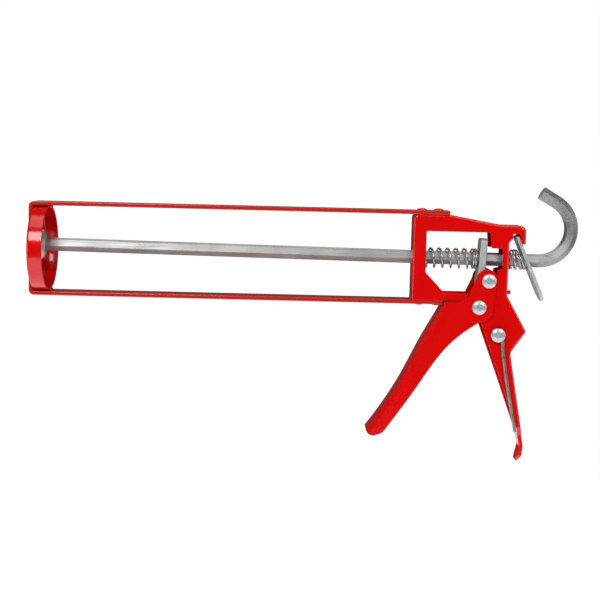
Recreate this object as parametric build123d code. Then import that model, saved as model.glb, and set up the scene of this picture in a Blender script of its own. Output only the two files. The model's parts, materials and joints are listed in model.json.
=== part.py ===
from build123d import *
import os
from math import cos, radians, sin, tan

# Skeleton caulking gun for 300 to 310 ml cartridges.
# Frame: X runs from the cup at the front to the hook at the rear, Y is the width, Z is up.
# The origin is the centre of the nozzle hole, on the cup's outer front face. Millimetres.

# ---- Driving dimensions ----
body_front = 230.0          # front face of the handle frame
half_height = 26.0          # cup radius, and half the height of the handle frame
frame_half = 8.0            # half the width of the rails and of the handle frame
frame_sheet = 1.3           # sheet thickness of the handle frame
web_bend = 1.8              # outer radius where a side wall turns into a web
rail_thickness = 2.4
trigger_inner_half = 8.35   # half the gap between the trigger's two cheeks
trigger_sheet = 1.5
trigger_bend = 2.0          # outer radius where a cheek turns into the front web

# Cup
cup_depth = 9.0
cup_sheet = 1.2
cup_corner = 1.5
cup_inner_corner = 0.5
nozzle_hole_radius = 11.5

# Rails
rail_tab = 13.0             # length of the tab that turns over the cup's face
rail_bend = 3.2             # outer radius where the tab turns
rail_edge = 0.5             # rounding along the bar's edges
top_rail_end = 251.8
bottom_rail_end = 248.9
rail_rivet_x = (235.4, 245.6)
rail_rivet_radius = 1.9
rail_head_radius = 3.0
rail_head_height = 1.3
rail_tail_radius = 2.6
rail_tail_height = 0.8

# Tongue at the handle's lower end
tongue_top = -109.0
tongue_half = 4.2

# Push rod: hexagonal bar, with a little play in its two guide holes
rod_flats = 7.2
rod_turn = -18.0            # turn of the hexagon about its own axis, degrees
rod_front = 3.2
spigot_radius = 2.5
bend_start = 307.4
bend_radius = 19.3
bend_angle = 150.0
hook_tail = 11.0
guide_x = 260.0             # midway between the two guide holes
guide_z = -0.45
rod_lean = 0.6              # nose-up lean that the play allows, degrees
guide_hole_radius = 4.6

# Piston: a small dished disc
piston_radius = 10.3
piston_rim_x = 2.6
piston_dish = 4.0
piston_sheet = 1.2

# Pins of the handle frame, as (X, Z)
drive_pin = (276.7, -13.4)
trigger_pivot = (271.3, -29.6)
handle_pin = (283.4, -46.2)
head_radius = 4.3
head_height = 1.5
drive_pin_radius = 2.3      # the shoulder between the trigger's cheeks
drive_end_radius = 2.0      # the turned-down ends, through the cheeks
pivot_radius = 2.5
handle_pin_radius = 2.2
pivot_spacer_radius = 3.8
handle_spacer_radius = 3.4
running_gap = 0.05          # radial play of a part that turns on a pin
seat_gap = 0.08             # space between parts that rest against each other

# Drive plate and main spring
drive_plate_thickness = 4.2
drive_plate_cant = 3.0      # backward lean of the plate's top, degrees
drive_plate_top = 11.9
drive_plate_bottom = -17.6
drive_plate_corner = 2.6
inner_half = frame_half - frame_sheet
plate_half = inner_half - 0.2
main_wire = 1.4
main_coil_radius = 5.75
main_pitch = 5.1

# Release plate and its spring
spine_x = 288.5             # rear face of the handle frame, behind the rod
collar_radius = 5.6         # raised ring round the rod's rear guide hole
collar_height = 1.2
fulcrum = (296.5, 9.3)      # the hook tip's inner corner, which the plate leans on
release_tilt = 24.0
release_top = 5.6           # length of plate above the fulcrum
release_length = 43.0
release_thickness = 2.0
slot_centre = 10.75
slot_half_length = 5.6
slot_half_width = 4.5
release_wire = 1.3
release_coil_radius = 5.7

# Seal punch
punch_wire = 2.0
punch_gap = 0.1             # side play between the punch and the handle frame


# ---- Helpers ----
def side_slab(face, half):
    """Thicken a face drawn in (X, Z) by half to each side of the middle plane."""
    return extrude(Plane.XZ * face, amount=half, both=True)


def pin(place, radius, half):
    """A cylinder along Y through a point given as (X, Z)."""
    return Pos(place[0], 0, place[1]) * Rot(90, 0, 0) * Cylinder(radius, 2 * half)


def tube(place, outer, inner, half):
    """A sleeve along Y about a point given as (X, Z)."""
    return pin(place, outer, half) - pin(place, inner, half + 1)


def dome(radius, height):
    """A domed rivet head standing on the XY plane, with a short straight edge."""
    edge = 0.35 * height
    crown = ThreePointArc((0, height), (0.62 * radius, 0.85 * height), (radius, edge))
    base = Polyline((radius, edge), (radius, 0), (0, 0), (0, height))
    return revolve(Plane.XZ * make_face(crown + base), Axis.Z)


def side_head(place, side, stand):
    """A domed head facing outwards, its seat at Y = side * stand."""
    turn = Rot(90, 0, 0) if side < 0 else Rot(-90, 0, 0)
    return Pos(place[0], side * stand, place[1]) * turn * dome(head_radius, head_height)


def domed_rivet(place, radius, stand_near, stand_far):
    """A rivet along Y: a shank with a domed head on each side."""
    reach = stand_near + stand_far
    middle = (stand_far - stand_near) / 2
    shank = Pos(place[0], middle, place[1]) * Rot(90, 0, 0) * Cylinder(radius, reach)
    return shank + side_head(place, -1, stand_near) + side_head(place, 1, stand_far)


def as_one(shape):
    """The single solid that a boolean result holds."""
    return shape.solids().sort_by(SortBy.VOLUME)[-1]


def near(edges, low, high):
    """The edges whose middle lies in the box between two corners."""
    kept = []
    for edge in edges:
        middle = edge.position_at(0.5)
        inside = [a <= v <= b for a, v, b in zip(low, middle, high)]
        if all(inside):
            kept.append(edge)
    return kept


# ---- Cartridge cradle ----
def front_cup():
    cup = Rot(0, 90, 0) * Cylinder(half_height, cup_depth, align=(Align.CENTER, Align.CENTER, Align.MIN))
    cup = fillet(cup.edges().group_by(Axis.X)[0], cup_corner)
    bore_depth = cup_depth - cup_sheet + 1
    bore = Cylinder(half_height - cup_sheet, bore_depth, align=(Align.CENTER, Align.CENTER, Align.MIN))
    bore = fillet(bore.edges().group_by(Axis.Z)[0], cup_inner_corner)
    hole = Rot(0, 90, 0) * Cylinder(nozzle_hole_radius, 4 * cup_sheet)
    return as_one(cup - Pos(cup_sheet, 0, 0) * Rot(0, 90, 0) * bore - hole)


def rail(side, end):
    """A flat bar along the cradle, with its front end turned over the cup's face."""
    low, high = half_height, half_height + rail_thickness
    corner = (-rail_thickness, high)
    points = [
        (0, high - rail_tab),
        (0, low),
        (end, low),
        (end, high),
        corner,
        (-rail_thickness, high - rail_tab),
        (0, high - rail_tab),
    ]
    face = make_face(Polyline(*points))
    outer = face.vertices().sort_by_distance(Vector(*corner))[0]
    face = fillet(outer, rail_bend)
    inner = face.vertices().sort_by_distance(Vector(0, low))[0]
    face = fillet(inner, rail_bend - rail_thickness)
    bar = side_slab(face, frame_half)
    wide = frame_half + 1
    long_edges = near(bar.edges(), (cup_depth, -wide, low - 1), (end - 1, wide, high + 1))
    bar = fillet(long_edges, rail_edge)
    if side < 0:
        bar = mirror(bar, Plane.XY)
    for x in rail_rivet_x:
        bar -= Pos(x, 0, side * low) * Cylinder(rail_rivet_radius, 3 * rail_thickness)
    return as_one(bar)


def rail_rivets(side):
    """Two rivets that hold one rail to the handle frame."""
    seat = half_height + rail_thickness
    inside = half_height - frame_sheet
    rivets = []
    for x in rail_rivet_x:
        shank = Cylinder(rail_rivet_radius, seat - inside, align=(Align.CENTER, Align.CENTER, Align.MIN))
        head = Pos(0, 0, seat - inside) * dome(rail_head_radius, rail_head_height)
        tail = Pos(0, 0, -rail_tail_height / 2) * Cylinder(rail_tail_radius, rail_tail_height)
        rivet = Pos(x, 0, inside) * (shank + head + tail)
        if side < 0:
            rivet = mirror(rivet, Plane.XY)
        rivets.append(as_one(rivet))
    return rivets


def cup_welds(cup, rails):
    """Weld beads in the corners between the cup's rear rim and the two rails."""
    bead_radius = 1.1
    bead_half = 3.5
    beads = []
    for side in (-1, 1):
        place = Pos(cup_depth + 0.35, 0, side * (half_height - 0.45))
        bead = place * Rot(90, 0, 0) * Cylinder(bead_radius, 2 * bead_half)
        bead = fillet(bead.edges(), 0.9 * bead_radius)
        beads.append(as_one(bead - cup - rails[0] - rails[1]))
    return beads


# ---- Handle frame ----
def body_outline():
    """Corners of the handle frame's side: X, Z and the corner's radius, 0 where it is sharp."""
    hook_x = 298.4
    top = 20.5
    return [
        (body_front, -half_height, 0),
        (body_front, half_height, 2.4),
        (252.0, half_height, 5.0),
        (284.0, top, 8.0),
        (hook_x, top, 3.8),
        (hook_x, fulcrum[1], 0),
        (fulcrum[0] - 0.5, fulcrum[1], 0),
        (294.6, 15.5, 1.2),
        (290.3, 15.5, 0.8),
        (290.3, 12.4, 0.8),
        (spine_x, 10.6, 0),
        (spine_x, -22.3, 2.4),
        (301.0, -44.2, 2.4),
        (291.9, -57.6, 4.0),
        (302.6, -116.0, 8.0),
        (301.9, -122.3, 3.0),
        (299.1, -126.0, 0.8),
        (298.1, -124.6, 0),
        (300.2, -116.0, 4.0),
        (298.2, -106.0, 3.0),
        (287.6, -77.5, 30.0),
        (272.7, -38.6, 3.0),
        (262.0, -half_height, 3.0),
    ]


def rounded(corners):
    """A face through the corners, each rounded with its own radius."""
    face = make_face(Polyline(*[(x, z) for x, z, _ in corners], close=True))
    for x, z, radius in corners:
        if radius > 0:
            face = fillet(face.vertices().sort_by_distance(Vector(x, z))[0], radius)
    return face


def body_window():
    """Corners of the window in each side wall: X, Z and the corner's radius."""
    return [
        (238.0, 16.0, 0.8),
        (276.9, 16.0, 1.6),
        (277.7, 6.5, 0.5),
        (284.4, 6.5, 0.8),
        (284.8, -5.9, 0.8),
        (281.6, -6.6, 0.8),
        (281.6, -17.0, 1.5),
        (273.0, -21.5, 2.0),
        (250.1, -21.5, 1.0),
        (238.0, -8.8, 1.0),
    ]


def beside_tongue(side):
    """What is cut from one side of the handle's end, to leave a narrow tongue."""
    wide = frame_half + 1.5
    foot = -130.0
    corners = make_face(
        Polyline(
            (side * wide, tongue_top + 8.0),
            (side * tongue_half, tongue_top),
            (side * tongue_half, -122.0),
            (side * 0.4 * tongue_half, -126.6),
            (side * 0.4 * tongue_half, foot),
            (side * wide, foot),
            close=True,
        )
    )
    return Pos(280.0, 0, 0) * extrude(Plane.YZ * corners, amount=30)


def body_hollow():
    """The space between the side walls, open below and along the handle's front."""
    left, right, low, high = 280.0, 320.0, -140.0, tongue_top + 4.0
    tongue = make_face(Polyline((left, low), (right, low), (right, high), (left, high), close=True))
    inner = offset(rounded(body_outline()) - tongue, -frame_sheet, kind=Kind.INTERSECTION)
    mouth = make_face(
        Polyline(
            (257.0, -24.0),
            (257.0, -30.0),
            (266.0, -44.0),
            (288.0, -103.0),
            (298.8, -104.2),
            (290.2, -78.0),
            (278.0, -40.0),
            (268.0, -24.0),
            close=True,
        )
    )
    low, high = 5.0, 15.5
    front, rear = 289.5, 296.9
    notch = make_face(Polyline((front, high), (front, low), (rear, low), (rear, high), close=True))
    return inner, mouth, notch


def handle_body():
    """The pressed frame: two side walls joined by front, top, rear and bottom webs."""
    shell = side_slab(rounded(body_outline()), frame_half)
    wide = frame_half + 1
    rims = near(shell.edges(), (body_front, -wide, half_height - 0.1), (250, wide, half_height + 0.1))
    rims += near(shell.edges(), (spine_x - 0.1, -wide, -15), (spine_x + 0.1, wide, 0))
    rims = [edge for edge in rims if abs(abs(edge.center().Y) - frame_half) < 0.01]
    shell = fillet(rims, web_bend)
    for side in (-1, 1):
        shell -= beside_tongue(side)
    for face in body_hollow():
        shell -= side_slab(face, inner_half)
    shell -= side_slab(rounded(body_window()), wide)
    guide = Rot(0, 90, 0) * Cylinder(guide_hole_radius, 6)
    shell -= Pos(body_front, 0, guide_z) * guide
    shell -= Pos(spine_x, 0, guide_z) * guide
    for place, radius in ((trigger_pivot, pivot_radius), (handle_pin, handle_pin_radius)):
        shell -= pin(place, radius, wide)
    for side in (-1, 1):
        for x in rail_rivet_x:
            shell -= Pos(x, 0, side * half_height) * Cylinder(rail_rivet_radius, 6)
    return as_one(shell)


def guide_collar():
    """The raised ring round the rod's hole in the rear web."""
    ring = Cylinder(collar_radius, collar_height) - Cylinder(guide_hole_radius, 2 * collar_height)
    ring = fillet(ring.edges().group_by(Axis.Z)[-1].sort_by(SortBy.RADIUS)[-1], 0.5)
    return as_one(Pos(spine_x + collar_height / 2, 0, guide_z) * Rot(0, 90, 0) * ring)


def stop_peg():
    """The small stud on the rear web below the rod."""
    length = 3.1
    radius = 1.2
    height = -20.7
    peg = fillet(Cylinder(radius, length).edges().group_by(Axis.Z)[-1], 0.4 * radius)
    return as_one(Pos(spine_x + length / 2, 0, height) * Rot(0, 90, 0) * peg)


# ---- Trigger ----
def trigger_front_line():
    """The finger side of the lever, from its nose down to its tip."""
    return Spline(
        (249.7, -28.2),
        (238.6, -48.8),
        (226.0, -74.2),
        (204.9, -107.2),
        tangents=[(-0.42, -0.9), (-0.6, -0.8)],
    )


def trigger_outline():
    """Side outline of the trigger, cheeks and lever together."""
    head = (275.4, -12.4)       # centre of the round crown about the drive rivet
    head_r = 6.2
    pivot_r = 8.7               # radius of the heel about the pivot
    front = trigger_front_line()
    tip = ThreePointArc((204.9, -107.2), (207.4, -109.8), (211.4, -109.5))
    tip_back = ThreePointArc((211.4, -109.5), (214.6, -108.2), (217.0, -105.4))
    back = Spline(
        (217.0, -105.4),
        (235.2, -78.9),
        (252.2, -54.5),
        (272.4, -38.3),
        tangents=[(0.58, 0.81), (0.86, 0.5)],
    )
    heel = ThreePointArc(
        (272.4, -38.3),
        (trigger_pivot[0] + pivot_r * cos(radians(-40)), trigger_pivot[1] + pivot_r * sin(radians(-40))),
        (trigger_pivot[0] + pivot_r, -28.6),
    )
    right = Line((trigger_pivot[0] + pivot_r, -28.6), (head[0] + head_r, head[1]))
    crown = ThreePointArc((head[0] + head_r, head[1]), (head[0], head[1] + head_r), (head[0] - head_r, head[1]))
    left = Line((head[0] - head_r, head[1]), (265.2, -21.2))
    sweep_in = ThreePointArc((265.2, -21.2), (263.2, -24.6), (259.4, -26.3))
    shoulder = Line((259.4, -26.3), (251.0, -26.7))
    nose = ThreePointArc((251.0, -26.7), (250.0, -27.1), (249.7, -28.2))
    return front + tip + tip_back + back + heel + right + crown + left + sweep_in + shoulder + nose


def trigger():
    """A channel open to the rear: a front web for the fingers between two cheeks."""
    half = trigger_inner_half + trigger_sheet
    block = side_slab(make_face(trigger_outline()), half)
    rims = near(block.edges(), (203, -11, -110), (232, 11, -28.3))
    front_rims = [edge for edge in rims if edge.length > 60 and abs(edge.center().Y) > half - 0.1]
    block = fillet(front_rims, trigger_bend)
    block -= side_slab(trigger_hollow(), trigger_inner_half)
    block -= pin(drive_pin, drive_end_radius, half + 1)
    block -= pin(trigger_pivot, pivot_radius + running_gap, half + 1)
    return as_one(block)


def trigger_hollow():
    """The channel's inside, one sheet thickness behind the front web and open at the back."""
    step_x = 1.15 * trigger_sheet   # the sheet as cut level by the sloping web
    inner_front = Spline(
        (249.7 + step_x, -26.7 - trigger_sheet),
        (238.6 + step_x, -48.8),
        (226.0 + step_x, -74.2),
        (211.0 + step_x, -99.0),
        tangents=[(-0.42, -0.9), (-0.56, -0.83)],
    )
    start = (249.7 + step_x, -26.7 - trigger_sheet)
    end = (211.0 + step_x, -99.0)
    loop = Polyline(
        end,
        (222.0, -106.0),
        (262.0, -56.0),
        (290.0, -40.0),
        (290.0, 0.0),
        (256.0, 0.0),
        (256.0, -26.7 - trigger_sheet),
        start,
    )
    return make_face(inner_front + loop)


# ---- Push rod and piston ----
def lean(shape):
    """Lean a rod piece, drawn on the X axis, by the play in the guide holes."""
    return Pos(guide_x, 0, guide_z) * Rot(0, rod_lean, 0) * Pos(-guide_x, 0, 0) * shape


def push_rod():
    """The hexagonal bar with its bent ladder hook and a turned spigot for the piston."""
    section_radius = rod_flats / (2 * cos(radians(30)))
    spigot_end = piston_rim_x + piston_dish
    start = Plane(origin=(spigot_end, 0, 0), x_dir=(0, 1, 0), z_dir=(1, 0, 0))
    section = start * Rot(0, 0, 30 + rod_turn) * RegularPolygon(section_radius, 6)
    straight = Line((spigot_end, 0), (bend_start, 0))
    bend = JernArc((bend_start, 0), (1, 0), bend_radius, bend_angle)
    tail = Line(bend @ 1, bend @ 1 + (bend % 1) * hook_tail)
    path = Plane.XZ * (straight + bend + tail)
    bar = sweep(section, path=path)
    spigot = Pos(rod_front, 0, 0) * Rot(0, 90, 0)
    length = spigot_end - rod_front
    spigot = spigot * Cylinder(spigot_radius, length, align=(Align.CENTER, Align.CENTER, Align.MIN))
    return as_one(lean(bar + spigot))


def piston():
    """A dished steel disc, hollow side forward, with a hole for the rod's spigot."""
    rim = piston_rim_x
    apex = rim + piston_dish
    step = piston_sheet
    flat_radius = 4.6
    outer = ThreePointArc((rim, piston_radius), (rim + 0.6 * piston_dish, 0.8 * piston_radius), (apex, flat_radius))
    inner = ThreePointArc(
        (apex - step, flat_radius - 0.3),
        (rim + 0.6 * (piston_dish - step), 0.7 * piston_radius),
        (rim, piston_radius - step),
    )
    crown = Polyline((apex, flat_radius), (apex, spigot_radius), (apex - step, spigot_radius), inner @ 0)
    profile = make_face(outer + crown + inner + Line(inner @ 1, outer @ 0))
    return as_one(lean(revolve(Plane.XZ * profile, Axis.X)))


def piston_nut():
    """The flanged nut that clamps the piston on the spigot, inside the dish."""
    thickness = 1.6
    nut = extrude(RegularPolygon(4.0, 6), amount=thickness) - Cylinder(spigot_radius, 4 * thickness)
    return as_one(lean(Pos(piston_rim_x + piston_dish - piston_sheet - thickness, 0, 0) * Rot(0, 90, 0) * nut))


# ---- Drive ----
def drive_plate():
    """The thick plate that grips the rod when the trigger's pin pushes its foot."""
    back = drive_pin[0] - (drive_pin_radius + seat_gap) / cos(radians(drive_plate_cant))
    height = drive_plate_top - drive_plate_bottom
    middle_z = (drive_plate_top + drive_plate_bottom) / 2
    plate = Pos(back - drive_plate_thickness / 2, 0, middle_z)
    plate = plate * Box(drive_plate_thickness, 2 * plate_half, height)
    corners = plate.edges().filter_by(Axis.X).group_by(Axis.Z)[-1]
    plate = fillet(corners, drive_plate_corner)
    plate = chamfer(plate.edges().filter_by(Axis.Z), 0.4)
    foot = Pos(back, 0, drive_pin[1])
    plate = foot * Rot(0, drive_plate_cant, 0) * foot.inverse() * plate
    hole = Pos(back, 0, guide_z) * Rot(0, 90, 0) * Cylinder(guide_hole_radius + 0.1, 12)
    return as_one(plate - hole)


def coil(radius, wire, pitch, length, start_x):
    """A compression spring along X. Its closed end turns aren't wound."""
    helix = Helix(pitch=pitch, height=length, radius=radius)
    section = Plane(helix ^ 0) * Circle(wire / 2)
    wind = sweep(section, path=helix, is_frenet=True)
    return as_one(Pos(start_x, 0, guide_z) * Rot(0, 90, 0) * wind)


def main_spring():
    """The return spring between the front web and the drive plate."""
    reach = main_coil_radius + main_wire / 2
    foot_to_ring = guide_z - reach - drive_pin[1]
    back = drive_pin[0] - drive_pin_radius - seat_gap - drive_plate_thickness
    back += foot_to_ring * tan(radians(drive_plate_cant))
    first = body_front + frame_sheet + main_wire / 2 + seat_gap
    last = back - main_wire / 2 - 2 * seat_gap
    return coil(main_coil_radius, main_wire, main_pitch, last - first, first)


# ---- Release ----
def on_release_plate(shape):
    """Place a shape drawn with Z down the plate's length from the fulcrum."""
    return Pos(fulcrum[0], 0, fulcrum[1]) * Rot(0, -release_tilt, 0) * shape


def release_plate():
    """The tilted plate that grips the rod until the thumb presses its lower end."""
    top = release_top
    bottom = release_top - release_length
    centre = Pos(-release_thickness / 2, 0, (top + bottom) / 2)
    plate = centre * Box(release_thickness, 2 * plate_half, release_length)
    foot = plate.edges().filter_by(Axis.X).group_by(Axis.Z)[0]
    plate = fillet(foot, plate_half - 0.6)
    crown = plate.edges().filter_by(Axis.X).group_by(Axis.Z)[-1]
    plate = fillet(crown, 1.2)
    half_run = slot_half_length - slot_half_width
    slot = Box(10, 2 * slot_half_width, 2 * half_run)
    for end in (-1, 1):
        slot += Pos(0, 0, end * half_run) * Rot(0, 90, 0) * Cylinder(slot_half_width, 10)
    return as_one(on_release_plate(plate - Pos(0, 0, -slot_centre) * slot))


def release_spring():
    """The short spring between the rear web's collar and the release plate."""
    first = spine_x + collar_height + release_wire / 2 + seat_gap
    lean_off = release_coil_radius * sin(radians(release_tilt))
    plate_front = fulcrum[0] + (fulcrum[1] - guide_z) * tan(radians(release_tilt))
    plate_front -= release_thickness / cos(radians(release_tilt))
    length = plate_front - lean_off - first - release_wire
    return coil(release_coil_radius, release_wire, length / 2, length, first)


# ---- Seal punch ----
def seal_punch():
    """The swinging wire that pierces a cartridge's seal, with an eye round its rivet."""
    y = -(frame_half + punch_wire / 2 + punch_gap)
    eye_radius = handle_pin_radius + running_gap + punch_wire / 2
    eye = Pos(handle_pin[0], y, handle_pin[1]) * Rot(90, 0, 0) * Torus(eye_radius, punch_wire / 2)
    points = [(286.3, -47.6), (286.9, -57.0), (289.2, -71.0), (292.7, -88.0), (296.3, -105.8)]
    route = FilletPolyline(*points, radius=[20, 60, 60])
    path = Plane.XZ.offset(-y) * route
    wire = sweep(Plane(path ^ 0) * Circle(punch_wire / 2), path=path)
    return as_one(eye + wire)


# ---- Assembly ----
def make_nodes():
    cup = front_cup()
    top_rail = rail(1, top_rail_end)
    bottom_rail = rail(-1, bottom_rail_end)
    outside = trigger_inner_half + trigger_sheet
    drive_rivet = domed_rivet(drive_pin, drive_end_radius, outside, outside)
    drive_rivet += pin(drive_pin, drive_pin_radius, trigger_inner_half)
    punch_room = punch_wire + 2 * punch_gap
    return {
        "front_cup": cup,
        "top_rail": top_rail,
        "bottom_rail": bottom_rail,
        "cup_welds": cup_welds(cup, (top_rail, bottom_rail)),
        "top_rail_rivets": rail_rivets(1),
        "bottom_rail_rivets": rail_rivets(-1),
        "handle_body": handle_body(),
        "rod_guide_collar": guide_collar(),
        "stop_peg": stop_peg(),
        "trigger": trigger(),
        "trigger_pivot_rivet": as_one(domed_rivet(trigger_pivot, pivot_radius, outside, outside)),
        "pivot_spacer": as_one(tube(trigger_pivot, pivot_spacer_radius, pivot_radius, inner_half)),
        "drive_rivet": as_one(drive_rivet),
        "handle_rivet": as_one(
            domed_rivet(handle_pin, handle_pin_radius, frame_half + punch_room, frame_half)
        ),
        "handle_spacer": as_one(tube(handle_pin, handle_spacer_radius, handle_pin_radius, inner_half)),
        "seal_punch": seal_punch(),
        "push_rod": push_rod(),
        "piston": piston(),
        "piston_nut": piston_nut(),
        "drive_plate": drive_plate(),
        "main_spring": main_spring(),
        "release_plate": release_plate(),
        "release_spring": release_spring(),
    }


def write_parts():
    os.makedirs("parts", exist_ok=True)
    for name, shape in make_nodes().items():
        group = Compound(children=shape) if isinstance(shape, list) else shape
        export_step(group, f"parts/{name}.step")


write_parts()
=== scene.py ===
"""Skeleton caulking gun: enamelled cradle and handle, zinc plated rod, plates, rivets and springs."""
import json
import logging
import math
from abc import ABC, abstractmethod
from dataclasses import dataclass
from enum import Enum

import bmesh
import bpy
from mathutils import Matrix, Vector

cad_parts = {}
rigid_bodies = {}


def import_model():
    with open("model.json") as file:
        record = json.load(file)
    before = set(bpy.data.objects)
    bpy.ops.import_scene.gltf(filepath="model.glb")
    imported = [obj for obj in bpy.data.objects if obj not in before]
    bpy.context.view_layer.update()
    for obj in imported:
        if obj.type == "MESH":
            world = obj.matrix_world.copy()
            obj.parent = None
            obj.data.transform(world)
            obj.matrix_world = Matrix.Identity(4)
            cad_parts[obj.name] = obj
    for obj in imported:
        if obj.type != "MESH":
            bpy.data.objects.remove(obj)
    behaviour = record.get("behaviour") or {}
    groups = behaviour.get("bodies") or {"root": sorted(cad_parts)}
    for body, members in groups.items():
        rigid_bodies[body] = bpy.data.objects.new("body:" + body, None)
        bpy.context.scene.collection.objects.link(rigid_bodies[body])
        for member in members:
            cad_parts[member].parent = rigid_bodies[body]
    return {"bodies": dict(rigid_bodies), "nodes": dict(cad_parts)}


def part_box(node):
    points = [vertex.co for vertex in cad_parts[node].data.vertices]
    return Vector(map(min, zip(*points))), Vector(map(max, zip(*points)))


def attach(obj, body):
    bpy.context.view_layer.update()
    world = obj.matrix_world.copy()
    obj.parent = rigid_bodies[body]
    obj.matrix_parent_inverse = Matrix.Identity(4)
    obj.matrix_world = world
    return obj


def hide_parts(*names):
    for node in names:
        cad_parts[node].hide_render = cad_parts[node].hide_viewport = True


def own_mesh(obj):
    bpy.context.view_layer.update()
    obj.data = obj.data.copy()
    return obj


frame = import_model()
LOG = logging.getLogger("caulking_gun")
MM = 0.001
ROD_AXIS_Z = -0.45  # height of the rod's axis, which both springs are wound round, in millimetres


# ---- Small helpers ----
def mm_vector(x: float, y: float, z: float) -> Vector:
    """Turn a place in millimetres into metres.

    Args:
        x: distance rearward of the cup's face.
        y: distance across the gun.
        z: height above the nozzle hole's centre.

    Returns:
        The place in metres.
    """
    return Vector((x, y, z)) * MM


def linear(colour: str) -> tuple[float, float, float, float]:
    """Turn an sRGB hex colour into linear RGBA.

    Args:
        colour: six hex digits after a hash.

    Returns:
        Linear red, green, blue and an alpha of 1.
    """
    channels = [int(colour[i:i + 2], 16) / 255 for i in (1, 3, 5)]
    curve = [c / 12.92 if c <= 0.04045 else ((c + 0.055) / 1.055) ** 2.4 for c in channels]
    return (*curve, 1.0)


def add_node(
    tree: bpy.types.NodeTree, kind: str, inputs: dict | None = None, **settings,
) -> bpy.types.Node:
    """Add a shader node with its settings, constants and links.

    Args:
        tree: the material's or world's node tree.
        kind: the node's class name.
        inputs: socket name or number to a constant, or to an output socket that feeds it.
        **settings: the node's own properties.

    Returns:
        The new node.
    """
    node = tree.nodes.new(kind)
    for name, value in settings.items():
        setattr(node, name, value)
    for socket, value in (inputs or {}).items():
        if isinstance(value, bpy.types.NodeSocket):
            tree.links.new(value, node.inputs[socket])
        else:
            node.inputs[socket].default_value = value
    return node


def per_metre(size_mm: float) -> float:
    """Give the texture scale at which one feature is size_mm long."""
    return 1.0 / (size_mm * MM)


# ---- Finishes ----
class Grain(Enum):
    """The direction in which a metal surface was worked."""

    ALONG_ROD = (0.03, 1.0, 1.0)
    UP_PLATE = (1.0, 1.0, 0.12)
    EVEN = (1.0, 1.0, 1.0)


@dataclass(frozen=True)
class Finish(ABC):
    """What every finish shares: its name and how far a corner is rounded over."""

    name: str
    edge_mm: float

    @abstractmethod
    def surface(
        self, tree: bpy.types.NodeTree, place: bpy.types.NodeSocket, worn: bpy.types.Node,
    ) -> bpy.types.Node:
        """Build the shader.

        Args:
            tree: the material's node tree.
            place: object coordinates, in metres.
            worn: the node whose normal is rounded at the corners.

        Returns:
            The surface shader node.
        """

    def material(self) -> bpy.types.Material:
        """Build the whole material.

        Returns:
            The material, ready to assign.
        """
        material = bpy.data.materials.new(self.name)
        material.use_nodes = True
        tree = material.node_tree
        tree.nodes.clear()
        place = add_node(tree, "ShaderNodeTexCoord").outputs["Object"]
        rounded = add_node(tree, "ShaderNodeBevel", {"Radius": self.edge_mm * MM}, samples=6)
        shader = self.surface(tree, place, rounded)
        add_node(tree, "ShaderNodeOutputMaterial", {"Surface": shader.outputs[0]})
        return material


@dataclass(frozen=True)
class StovedEnamel(Finish):
    """Stoved enamel on pressed steel: a thick glossy coat with a faint orange peel.

    Along every corner the red is painted deeper: painted shade, a dark line standing in for the shade on
    the rounded edges.
    """

    colour: str = "#D00202"
    deep: str = "#B00201"
    # painted shade: the dark red laid along every corner
    painted_edge_shade_colour: str = "#7A0402"
    roughness: float = 0.15
    peel_mm: float = 1.6
    peel_height_mm: float = 0.1
    peel_strength: float = 0.05
    cloud_mm: float = 38.0
    deep_share: float = 0.22
    painted_edge_shade_share: float = 0.3
    edge_from: float = 0.995
    edge_to: float = 0.86

    def surface(
        self, tree: bpy.types.NodeTree, place: bpy.types.NodeSocket, worn: bpy.types.Node,
    ) -> bpy.types.Node:
        """Build the enamel's shader.

        Args:
            tree: the material's node tree.
            place: object coordinates, in metres.
            worn: the node whose normal is rounded at the corners.

        Returns:
            The surface shader node.
        """
        cloud = add_node(
            tree, "ShaderNodeTexNoise", {"Vector": place, "Scale": per_metre(self.cloud_mm), "Detail": 3.0},
        )
        thickness = add_node(
            tree, "ShaderNodeMapRange",
            {
                "Value": cloud.outputs["Fac"], "From Min": 0.35, "From Max": 0.75,
                "To Min": 0.0, "To Max": self.deep_share,
            },
        )
        coat = add_node(
            tree, "ShaderNodeMix",
            {0: thickness.outputs["Result"], 6: linear(self.colour), 7: linear(self.deep)},
            data_type="RGBA",
        )
        # Painted shade: where the rounded normal turns away from the flat one, at every corner, the red is
        # mixed towards a dark red line.
        flat = add_node(tree, "ShaderNodeNewGeometry")
        facing = add_node(
            tree, "ShaderNodeVectorMath", {0: worn.outputs["Normal"], 1: flat.outputs["Normal"]},
            operation="DOT_PRODUCT",
        )
        edge = add_node(
            tree, "ShaderNodeMapRange",
            {
                "Value": facing.outputs["Value"], "From Min": self.edge_from, "From Max": self.edge_to,
                "To Min": 0.0, "To Max": self.painted_edge_shade_share,
            },
        )
        coloured = add_node(
            tree, "ShaderNodeMix",
            {0: edge.outputs["Result"], 6: coat.outputs[2], 7: linear(self.painted_edge_shade_colour)},
            data_type="RGBA",
        )
        peel = add_node(
            tree, "ShaderNodeTexNoise", {"Vector": place, "Scale": per_metre(self.peel_mm), "Detail": 1.0},
        )
        bump = add_node(
            tree, "ShaderNodeBump",
            {
                "Strength": self.peel_strength, "Distance": self.peel_height_mm * MM,
                "Height": peel.outputs["Fac"], "Normal": worn.outputs["Normal"],
            },
        )
        return add_node(
            tree, "ShaderNodeBsdfPrincipled",
            {
                "Base Color": coloured.outputs[2], "Roughness": self.roughness, "IOR": 1.5,
                "Coat Weight": 0.15, "Coat Roughness": 0.05, "Normal": bump.outputs["Normal"],
            },
        )


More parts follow.
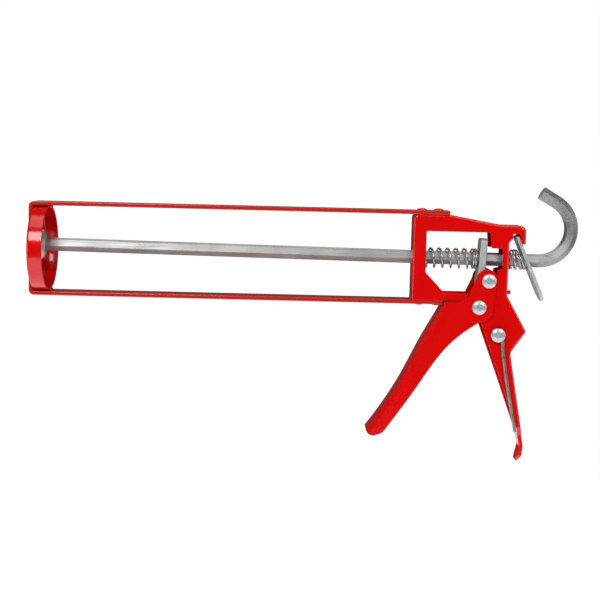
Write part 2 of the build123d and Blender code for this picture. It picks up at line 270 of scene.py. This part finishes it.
@dataclass(frozen=True)
class PlatedSteel(Finish):
    """Steel with a thin electroplated or drawn skin: grey metal with fine tool marks and cloudy patches.

    The marks are drawn coarser than real ones, so that they show.
    """

    colour: str = "#C9C8C4"
    dark: str = "#8E8D88"
    roughness: float = 0.3
    grain: Grain = Grain.EVEN
    grain_mm: float = 0.5
    cloud_mm: float = 9.0
    mark_strength: float = 0.25
    mark_height_mm: float = 0.05
    dark_share: float = 0.75
    smoothest: float = 0.8
    dullest: float = 1.3
    metallic: float = 0.78

    def surface(
        self, tree: bpy.types.NodeTree, place: bpy.types.NodeSocket, worn: bpy.types.Node,
    ) -> bpy.types.Node:
        """Build the metal's shader.

        Args:
            tree: the material's node tree.
            place: object coordinates, in metres.
            worn: the node whose normal is rounded at the corners.

        Returns:
            The surface shader node.
        """
        stretched = add_node(tree, "ShaderNodeMapping", {"Vector": place, "Scale": self.grain.value})
        marks = add_node(
            tree, "ShaderNodeTexNoise",
            {"Vector": stretched.outputs["Vector"], "Scale": per_metre(self.grain_mm), "Detail": 2.0},
        )
        cloud = add_node(
            tree, "ShaderNodeTexNoise", {"Vector": place, "Scale": per_metre(self.cloud_mm), "Detail": 4.0},
        )
        patch = add_node(
            tree, "ShaderNodeMath", {0: marks.outputs["Fac"], 1: cloud.outputs["Fac"]},
            operation="MULTIPLY",
        )
        amount = add_node(
            tree, "ShaderNodeMapRange",
            {
                "Value": patch.outputs["Value"], "From Min": 0.12, "From Max": 0.42,
                "To Min": self.dark_share, "To Max": 0.0,
            },
        )
        tint = add_node(
            tree, "ShaderNodeMix",
            {0: amount.outputs["Result"], 6: linear(self.colour), 7: linear(self.dark)},
            data_type="RGBA",
        )
        dull = add_node(
            tree, "ShaderNodeMapRange",
            {
                "Value": marks.outputs["Fac"], "From Min": 0.3, "From Max": 0.7,
                "To Min": self.smoothest * self.roughness, "To Max": self.dullest * self.roughness,
            },
        )
        bump = add_node(
            tree, "ShaderNodeBump",
            {
                "Strength": self.mark_strength, "Distance": self.mark_height_mm * MM,
                "Height": marks.outputs["Fac"], "Normal": worn.outputs["Normal"],
            },
        )
        return add_node(
            tree, "ShaderNodeBsdfPrincipled",
            {
                "Base Color": tint.outputs[2], "Metallic": self.metallic,
                "Roughness": dull.outputs["Result"], "Normal": bump.outputs["Normal"],
            },
        )


def dress(material: bpy.types.Material, *nodes: str) -> None:
    """Give CAD nodes their material.

    Args:
        material: the finish to show.
        *nodes: the nodes' names.
    """
    for name in nodes:
        for slot in frame["nodes"][name].material_slots:
            slot.material = material
        LOG.info("dressed %s in %s", name, material.name)


# ---- Springs ----
@dataclass
class CoilSpring:
    """A compression spring wound along X, with closed turns at its ends."""

    name: str
    node: str
    slot: str
    start_x: float
    axis_z: float
    coil_radius: float
    wire: float
    runs: tuple[tuple[float, float], ...]
    first_angle: float = 0.0
    end_tilt: float = 0.0
    steps_per_turn: int = 40
    wire_sides: int = 16
    merge_distance: float = 1e-7  # metres, joins the rings that two runs share

    @property
    def length(self) -> float:
        """Distance along the axis between the first and the last wire centre, in millimetres."""
        return sum(turns * pitch for turns, pitch in self.runs)

    def wound(self) -> bmesh.types.BMesh:
        """Wind the wire, one spin for each run of turns.

        Returns:
            The spring's mesh, in metres.
        """
        bm = bmesh.new()
        circle = bmesh.ops.create_circle(bm, segments=self.wire_sides, radius=self.wire / 2 * MM)
        upright = Matrix.Rotation(math.radians(90), 3, "X")
        bmesh.ops.rotate(bm, verts=circle["verts"], cent=(0, 0, 0), matrix=upright)
        bmesh.ops.translate(bm, verts=circle["verts"], vec=(0, 0, self.coil_radius * MM))
        section = circle["verts"] + bm.edges[:]
        for turns, pitch in self.runs:
            steps = round(turns * self.steps_per_turn)
            advance = Vector((turns * pitch * MM / steps, 0, 0))
            spun = bmesh.ops.spin(
                bm, geom=section, cent=(0, 0, 0), axis=(1, 0, 0), dvec=advance,
                angle=math.tau * turns, steps=steps, use_merge=False,
            )
            section = spun["geom_last"]
        bmesh.ops.holes_fill(bm, edges=[edge for edge in bm.edges if edge.is_boundary], sides=0)
        bmesh.ops.remove_doubles(bm, verts=bm.verts, dist=self.merge_distance)
        bmesh.ops.recalc_face_normals(bm, faces=bm.faces)
        return bm

    def seat(self, bm: bmesh.types.BMesh) -> None:
        """Turn the spring to its first angle, lean its far end on the plate behind it, and put it in place.

        Args:
            bm: the wound spring, changed in place.
        """
        turn = Matrix.Rotation(math.radians(self.first_angle), 3, "X")
        bmesh.ops.rotate(bm, verts=bm.verts, cent=(0, 0, 0), matrix=turn)
        slope = math.tan(math.radians(self.end_tilt))
        for vertex in bm.verts:
            share = min(max(vertex.co.x / (self.length * MM), 0.0), 1.0)
            vertex.co.x -= share * slope * vertex.co.z
        bmesh.ops.translate(bm, verts=bm.verts, vec=mm_vector(self.start_x, 0, self.axis_z))

    def build(self, material: bpy.types.Material) -> bpy.types.Object:
        """Make the spring's object, standing for its CAD node.

        Args:
            material: the wire's finish.

        Returns:
            The new object.
        """
        bm = self.wound()
        self.seat(bm)
        mesh = bpy.data.meshes.new(self.name)
        bm.to_mesh(mesh)
        bm.free()
        mesh.shade_smooth()
        mesh.materials.append(material)
        spring = bpy.data.objects.new(self.name, mesh)
        bpy.context.scene.collection.objects.link(spring)
        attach(spring, "frame")
        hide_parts(self.node)
        LOG.info("wound %s, %.1f mm long", self.name, self.length)
        return spring


# ---- Sub-assemblies ----
@dataclass
class Cradle:
    """The cup, the two rails, their welds and their rivets, all enamelled."""

    enamel: bpy.types.Material
    # painted sheen: the enamel in a paler, browner red for the light on the rails
    sheen_painted_enamel: bpy.types.Material

    def dress(self) -> None:
        """Enamel every piece of the cradle, with a browner red on the rails: a painted sheen for the light
        on the bars' faces.
        """
        dress(self.enamel, "front_cup", "cup_welds", "top_rail_rivets", "bottom_rail_rivets")
        dress(self.sheen_painted_enamel, "top_rail", "bottom_rail")


@dataclass
class Handle:
    """The pressed handle frame with its collar, peg, rivets, spacers and seal punch."""

    enamel: bpy.types.Material
    rivet_zinc: bpy.types.Material
    turned_steel: bpy.types.Material
    drawn_wire: bpy.types.Material

    def dress(self) -> None:
        """Give each piece of the handle its finish."""
        dress(self.enamel, "handle_body", "rod_guide_collar", "stop_peg")
        dress(self.rivet_zinc, "trigger_pivot_rivet", "handle_rivet")
        dress(self.turned_steel, "pivot_spacer", "handle_spacer")
        dress(self.drawn_wire, "seal_punch")


@dataclass
class Trigger:
    """The lever and the drive rivet at its top."""

    enamel: bpy.types.Material
    rivet_zinc: bpy.types.Material

    def dress(self) -> None:
        """Give the lever and its rivet their finishes."""
        dress(self.enamel, "trigger")
        dress(self.rivet_zinc, "drive_rivet")


@dataclass
class PushRod:
    """The hexagonal rod with its hook, piston and nut."""

    rod_zinc: bpy.types.Material
    piston_zinc: bpy.types.Material

    def dress(self) -> None:
        """Plate the rod and the piston."""
        dress(self.rod_zinc, "push_rod")
        dress(self.piston_zinc, "piston", "piston_nut")


@dataclass
class Drive:
    """The drive plate and the main spring that returns it."""

    plate_zinc: bpy.types.Material
    spring_zinc: bpy.types.Material
    seat_gap: float = 0.08
    face_setback: float = 0.35  # from the leaning plate's foremost corner to its face behind the spring
    wire: float = 1.4
    coil_radius: float = 5.75
    closed_pitch: float = 1.45
    closed_turns: float = 1.65
    open_turns: float = 6.6
    plate_cant: float = 3.0
    squashed: float = 0.765

    def build(self) -> None:
        """Dress the plate and wind the spring."""
        dress(self.plate_zinc, "drive_plate")
        low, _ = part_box("main_spring")
        plate_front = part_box("drive_plate")[0].x
        start = low.x / MM + self.wire / 2
        room = plate_front / MM + self.face_setback - self.seat_gap - self.wire / 2 - start
        open_pitch = (room - (1 + self.closed_turns) * self.closed_pitch) / self.open_turns
        spring = CoilSpring(
            name="main_return_spring", node="main_spring", slot="spring_steel",
            start_x=start, axis_z=ROD_AXIS_Z, coil_radius=self.coil_radius, wire=self.wire,
            runs=(
                (1.0, self.closed_pitch),
                (self.open_turns, open_pitch),
                (self.closed_turns, self.closed_pitch),
            ),
            first_angle=-360 * self.open_turns, end_tilt=-self.plate_cant,
        ).build(self.spring_zinc)
        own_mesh(spring)


@dataclass
class Release:
    """The tilted release plate and the short spring under it."""

    plate_zinc: bpy.types.Material
    spring_zinc: bpy.types.Material
    tilt: float = 24.0
    wire: float = 1.3
    coil_radius: float = 5.7
    closed_pitch: float = 1.35
    open_pitch: float = 2.5
    first_angle: float = 150.0
    squashed: float = 0.63

    def build(self) -> None:
        """Dress the plate and wind the spring."""
        dress(self.plate_zinc, "release_plate")
        low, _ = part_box("release_spring")
        start = low.x / MM + self.wire / 2
        spring = CoilSpring(
            name="release_lever_spring", node="release_spring", slot="spring_steel",
            start_x=start, axis_z=ROD_AXIS_Z, coil_radius=self.coil_radius, wire=self.wire,
            runs=((0.3, self.closed_pitch), (1.9, self.open_pitch), (1.1, self.closed_pitch)),
            first_angle=self.first_angle, end_tilt=self.tilt,
        ).build(self.spring_zinc)
        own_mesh(spring)


# ---- Studio ----
@dataclass(frozen=True)
class SoftBox:
    """One rectangular soft light: its place and size in metres, and its power in watts."""

    name: str
    place: tuple[float, float, float]
    size: tuple[float, float]
    power: float

    def hang(self, aim: tuple[float, float, float]) -> bpy.types.Object:
        """Hang the light.

        Args:
            aim: the point it faces, in metres.

        Returns:
            The lamp's object.
        """
        light = bpy.data.lights.new(self.name, "AREA")
        light.shape = "RECTANGLE"
        light.size, light.size_y = self.size
        light.energy = self.power
        lamp = bpy.data.objects.new(self.name, light)
        lamp.location = self.place
        lamp.rotation_euler = (Vector(aim) - Vector(self.place)).to_track_quat("-Z", "Y").to_euler()
        bpy.context.scene.collection.objects.link(lamp)
        return lamp


@dataclass
class Studio:
    """A pale floor under pale air, soft boxes and the camera."""

    floor_z: float = -0.32
    floor_radius: float = 0.8
    centre_x: float = 0.16
    camera_place: tuple[float, float, float] = (0.1584, -0.725, 0.05166)
    camera_yaw: float = -0.0056
    camera_pitch: float = 0.1102
    camera_roll: float = 0.0244
    lens_mm: float = 71.24
    sensor_mm: float = 36.0
    floor_sides: int = 96
    paper_glow: float = 0.6
    lit_air: float = 0.05   # strength of the air as a light
    seen_air: float = 1.0   # strength of the air where the camera sees it
    aim: tuple[float, float, float] = (0.16, 0.0, -0.02)
    soft_boxes: tuple[SoftBox, ...] = (
        SoftBox("front_left_box", (-0.27, -1.10, 0.72), (0.6, 0.5), 9.4),
        SoftBox("front_right_box", (1.05, -1.15, 0.75), (0.6, 0.5), 8.8),
        SoftBox("top_box", (0.16, -0.3, 1.4), (1.4, 1.0), 7.0),
        SoftBox("back_box", (0.16, 1.3, 0.9), (1.4, 0.6), 5.0),
        SoftBox("left_box", (-1.3, -0.4, -0.1), (0.9, 0.9), 5.4),
        SoftBox("right_box", (1.7, -0.3, 0.2), (0.9, 0.9), 3.4),
    )

    def clear(self) -> None:
        """Remove whatever the file opened with that isn't part of the gun."""
        kept = set(frame["nodes"].values()) | set(frame["bodies"].values())
        for leftover in [o for o in bpy.data.objects if o not in kept]:
            bpy.data.objects.remove(leftover)

    def floor(self) -> bpy.types.Object:
        """Make the round floor, well below the gun.

        Returns:
            The floor's object.
        """
        bm = bmesh.new()
        bmesh.ops.create_circle(bm, cap_ends=True, segments=self.floor_sides, radius=self.floor_radius)
        bmesh.ops.translate(bm, verts=bm.verts, vec=(self.centre_x, 0, self.floor_z))
        mesh = bpy.data.meshes.new("studio_floor")
        bm.to_mesh(mesh)
        bm.free()
        mesh.materials.append(self.paper())
        floor = bpy.data.objects.new("studio_floor", mesh)
        bpy.context.scene.collection.objects.link(floor)
        return floor

    def paper(self) -> bpy.types.Material:
        """Make the floor's matt white paper, which glows a little so that it stays white.

        Returns:
            The paper's material.
        """
        material = bpy.data.materials.new("matte_backdrop_paper")
        material.use_nodes = True
        tree = material.node_tree
        tree.nodes.clear()
        shader = add_node(
            tree, "ShaderNodeBsdfPrincipled",
            {
                "Base Color": linear("#F4F4F4"), "Roughness": 0.9, "Specular IOR Level": 0.1,
                "Emission Color": linear("#FFFFFF"), "Emission Strength": self.paper_glow,
            },
        )
        add_node(tree, "ShaderNodeOutputMaterial", {"Surface": shader.outputs[0]})
        return material

    def lights(self) -> None:
        """Light the gun from the front, from above and from both ends, and the air dimly."""
        for box in self.soft_boxes:
            box.hang(self.aim)
        world = bpy.data.worlds.new("studio_air")
        bpy.context.scene.world = world
        world.use_nodes = True
        tree = world.node_tree
        tree.nodes.clear()
        white = linear("#FFFFFF")
        dim = add_node(tree, "ShaderNodeBackground", {"Color": white, "Strength": self.lit_air})
        pale = add_node(tree, "ShaderNodeBackground", {"Color": white, "Strength": self.seen_air})
        seen = add_node(tree, "ShaderNodeLightPath").outputs["Is Camera Ray"]
        air = add_node(tree, "ShaderNodeMixShader", {0: seen, 1: dim.outputs[0], 2: pale.outputs[0]})
        add_node(tree, "ShaderNodeOutputWorld", {"Surface": air.outputs[0]})

    def camera(self) -> None:
        """Place the camera level with the cradle, square to it and looking slightly down."""
        data = bpy.data.cameras.new("camera")
        data.lens = self.lens_mm
        data.sensor_width = self.sensor_mm
        camera = bpy.data.objects.new("camera", data)
        yaw = Matrix.Rotation(self.camera_yaw, 4, "Z")
        pitch = Matrix.Rotation(math.radians(90) - self.camera_pitch, 4, "X")
        roll = Matrix.Rotation(self.camera_roll, 4, "Z")
        camera.matrix_world = Matrix.Translation(self.camera_place) @ yaw @ pitch @ roll
        bpy.context.scene.collection.objects.link(camera)
        bpy.context.scene.camera = camera

    def build(self) -> None:
        """Set up the whole studio."""
        self.floor()
        self.lights()
        self.camera()
        bpy.context.scene.view_settings.view_transform = "Standard"


def main() -> None:
    """Build the gun's looks and its studio, in order."""
    logging.basicConfig(level=logging.INFO, format="%(name)s: %(message)s")
    studio = Studio()
    studio.clear()
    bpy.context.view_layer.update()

    # Stoved red enamel on pressed sheet: an even, deep red with sharp pale glints, and painted shade as a
    # dark red line along every corner.
    enamel = StovedEnamel(name="stoved_red_enamel", edge_mm=0.45).material()
    # The same enamel, in a browner, paler red on the flat bars: a painted sheen for the light on the bars'
    # faces.
    sheen_painted_enamel = StovedEnamel(
        name="stoved_red_enamel_painted_paler_on_bar", edge_mm=0.45, colour="#BC2018", deep="#A81A14",
    ).material()
    # Zinc plate over a drawn hexagonal bar: soft grey facets with streaks along the bar.
    rod_zinc = PlatedSteel(
        name="zinc_plated_drawn_bar", edge_mm=0.35, colour="#A4A5A3", dark="#7B7C79",
        roughness=0.42, grain=Grain.ALONG_ROD, grain_mm=0.7, cloud_mm=14.0,
    ).material()
    # Zinc plate over pressed sheet: a flat, light grey with faint marks up the plate.
    plate_zinc = PlatedSteel(
        name="zinc_plated_pressed_plate", edge_mm=0.4, colour="#C9C9C8", dark="#9A9A9A",
        roughness=0.42, grain=Grain.UP_PLATE, grain_mm=0.6, metallic=0.4,
    ).material()
    # Zinc plate over a pressed disc: a light grey with cloudy patches.
    piston_zinc = PlatedSteel(
        name="zinc_plated_pressed_disc", edge_mm=0.3, colour="#CFCDCB", dark="#98959A", roughness=0.36,
    ).material()
    # Bright zinc on an upset rivet head: a smooth, bluish grey dome with one broad glint.
    rivet_zinc = PlatedSteel(
        name="bright_zinc_plated_head", edge_mm=0.3, colour="#D2D6DC", dark="#A2A6AC", roughness=0.3,
        cloud_mm=4.0, mark_strength=0.12, metallic=0.6,
    ).material()
    # Zinc on spring wire: bright along each turn, dark between the turns.
    spring_zinc = PlatedSteel(
        name="zinc_plated_spring_wire", edge_mm=0.1, colour="#BDBDBB", dark="#6F6F6C", roughness=0.27,
        cloud_mm=5.0, mark_strength=0.1,
    ).material()
    # Plain turned steel, on the spacers: a dull, darker grey.
    turned_steel = PlatedSteel(
        name="plain_turned_steel", edge_mm=0.2, colour="#8F8D88", dark="#5A5853", roughness=0.4,
    ).material()
    # Plain drawn wire, on the seal punch: a warm mid grey with marks along the wire.
    drawn_wire = PlatedSteel(
        name="plain_drawn_wire", edge_mm=0.1, colour="#A3A19C", dark="#6A6763", roughness=0.35,
        grain=Grain.UP_PLATE,
    ).material()

    Cradle(enamel, sheen_painted_enamel).dress()
    Handle(enamel, rivet_zinc, turned_steel, drawn_wire).dress()
    Trigger(enamel, rivet_zinc).dress()
    PushRod(rod_zinc, piston_zinc).dress()
    Drive(plate_zinc, spring_zinc).build()
    Release(plate_zinc, spring_zinc).build()
    studio.build()


if __name__ == "__main__":
    main()
